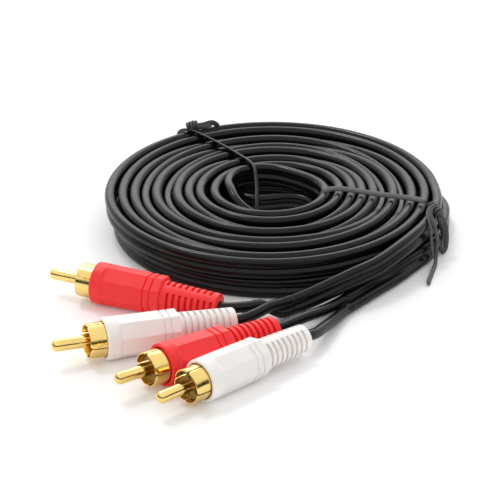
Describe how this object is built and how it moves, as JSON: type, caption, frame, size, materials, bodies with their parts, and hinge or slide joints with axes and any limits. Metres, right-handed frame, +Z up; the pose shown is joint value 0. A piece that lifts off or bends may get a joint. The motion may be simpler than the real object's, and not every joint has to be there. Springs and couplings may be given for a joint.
{
  "type": "rca audio cable",
  "caption": "Coiled stereo phono lead: black figure-eight twin cable held by twist ties, red and white moulded plugs with gold-plated contacts on both ends",
  "frame": {"origin": "middle of the object's footprint, on the surface it rests on", "axes": "+Z up, out of the flat coil; +Y from the plugs towards the coil; +X from the plugs' tips towards their leads, to the right as seen from the plug end"},
  "size_m": [0.1114, 0.1562, 0.0159],
  "materials": {
    "cable_jacket": "semi-gloss black vinyl",
    "red_moulding": "satin red vinyl",
    "white_moulding": "satin warm white vinyl",
    "gold_plate": "gold-plated, bright",
    "insulation": "off-white",
    "copper": "bare copper",
    "tie_strip": "dark grey plastic over wire"
  },
  "bodies": {
    "root": {"cable_coil": "cable_jacket", "twin_lead_a": "cable_jacket", "twin_lead_b": "cable_jacket", "red_a_centre_pin": "gold_plate", "red_a_ground_shell": "gold_plate", "red_a_insulator": "insulation", "red_a_moulded_body": "red_moulding", "red_a_dielectric": "insulation", "red_a_conductor": "copper", "red_a_lead": "cable_jacket", "white_a_centre_pin": "gold_plate", "white_a_ground_shell": "gold_plate", "white_a_insulator": "insulation", "white_a_moulded_body": "white_moulding", "white_a_dielectric": "insulation", "white_a_conductor": "copper", "white_a_lead": "cable_jacket", "red_b_centre_pin": "gold_plate", "red_b_ground_shell": "gold_plate", "red_b_insulator": "insulation", "red_b_moulded_body": "red_moulding", "red_b_dielectric": "insulation", "red_b_conductor": "copper", "red_b_lead": "cable_jacket", "white_b_centre_pin": "gold_plate", "white_b_ground_shell": "gold_plate", "white_b_insulator": "insulation", "white_b_moulded_body": "white_moulding", "white_b_dielectric": "insulation", "white_b_conductor": "copper", "white_b_lead": "cable_jacket", "twist_tie_right": "tie_strip", "twist_tie_left": "tie_strip"}
  },
  "joints": []
}
